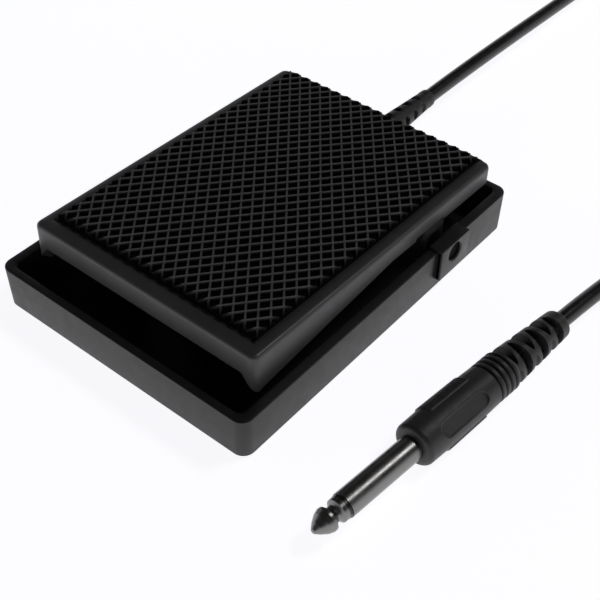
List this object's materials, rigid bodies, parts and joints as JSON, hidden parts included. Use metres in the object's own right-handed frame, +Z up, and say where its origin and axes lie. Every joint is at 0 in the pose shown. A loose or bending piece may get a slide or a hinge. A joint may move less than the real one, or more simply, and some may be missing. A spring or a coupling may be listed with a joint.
{
  "type": "sustain pedal",
  "caption": "Compact keyboard sustain pedal: a spring-returned ribbed tread hinged in an open tray, a momentary switch inside, and a lead ending in a mono jack plug.",
  "frame": {"origin": "centre of the underside of the tray's mat, on the floor", "axes": "+X to the player's right, +Y from the foot end to the hinge and cable end, +Z up"},
  "size_m": [0.1328, 0.2857, 0.0253],
  "materials": {
    "tray_plastic": "black moulded plastic with a fine satin texture",
    "tread_plastic": "black moulded plastic, smooth satin with soft highlights on its edges",
    "pad_rubber": "black moulded rubber with raised diamond ribs",
    "mat_rubber": "black sheet rubber",
    "boot_rubber": "black flexible moulding, satin",
    "cable_pvc": "black jacket with a soft shine",
    "plug_plastic": "black flexible moulding, finely grained",
    "pin_plastic": "black, dull",
    "bush_plastic": "black insulator",
    "nickel": "bright nickel plate",
    "spring_steel": "plated steel",
    "contact_brass": "brass contact",
    "board_laminate": "paper laminate board",
    "switch_plastic": "blue switch housing",
    "plunger_plastic": "ivory plunger",
    "wire_red": "red insulated core",
    "wire_bare": "tinned stranded core"
  },
  "bodies": {
    "base": {"base_tray": "tray_plastic", "base_mat": "mat_rubber", "stop_bumpers": "mat_rubber", "return_spring": "spring_steel", "switch_board": "board_laminate", "board_screws": "spring_steel", "switch_housing": "switch_plastic", "switch_cover": "spring_steel", "switch_terminals": "contact_brass", "switch_spring": "spring_steel", "cable_boot": "boot_rubber", "cable_clamp": "tread_plastic", "clamp_screws": "spring_steel", "cable_jacket": "cable_pvc", "signal_wire": "wire_red", "ground_wire": "wire_bare", "plug_handle": "plug_plastic", "plug_sleeve": "nickel", "plug_bush": "bush_plastic", "plug_tip": "nickel"},
    "tread": {"tread_shell": "tread_plastic", "tread_pad": "pad_rubber", "hinge_pins": "pin_plastic"},
    "plunger": {"switch_plunger": "plunger_plastic", "contact_bridge": "contact_brass"}
  },
  "joints": [
    {"name": "tread_hinge", "type": "hinge", "parent": "base", "child": "tread", "pos_m": [0, 0.0265, 0.01], "axis": [1, 0, 0], "range_deg": [0, 4.5], "stiffness_Nm_per_rad": 6, "deforming": ["return_spring"]},
    {"name": "plunger_slide", "type": "slide", "parent": "base", "child": "plunger", "axis": [0, 0, -1], "range_m": [0, 0.00176], "deforming": ["switch_spring"]}
  ],
  "couplings": [
    {"joint": "plunger_slide", "follows": "tread_hinge", "m_per_rad": 0.0223}
  ]
}
